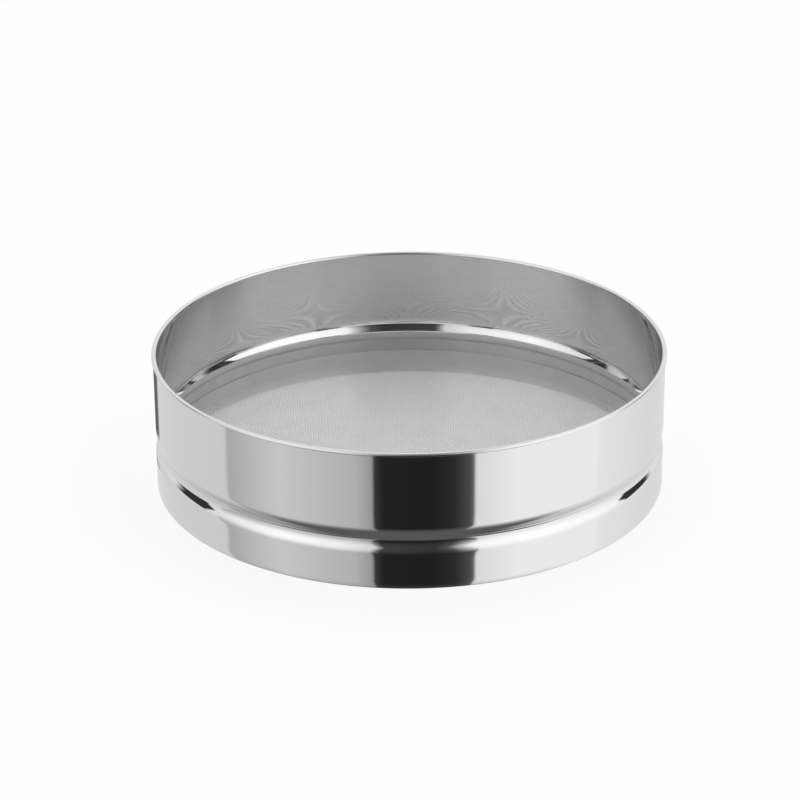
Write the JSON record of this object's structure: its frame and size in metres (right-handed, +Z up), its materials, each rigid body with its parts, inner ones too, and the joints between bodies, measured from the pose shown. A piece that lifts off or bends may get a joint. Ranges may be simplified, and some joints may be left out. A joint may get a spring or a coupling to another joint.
{
  "type": "drum sieve",
  "caption": "Round drum sieve: a low polished steel hoop with a rolled rim and a rolled bead, and a fine flat wire mesh clamped by rings near its foot, for sifting flour.",
  "frame": {"origin": "on the drum's axis, in the plane that the foot stands on", "axes": "+Z up along the drum's axis from the foot to the rim; X and Y along the wires of the mesh"},
  "size_m": [0.3, 0.3, 0.082],
  "materials": {
    "hoop_steel": "polished stainless sheet",
    "ring_steel": "satin stainless strip",
    "wire_steel": "drawn stainless wire"
  },
  "bodies": {
    "root": {"hoop": "hoop_steel", "upper_ring": "ring_steel", "wire_mesh": "wire_steel", "lower_ring": "ring_steel"}
  },
  "joints": []
}
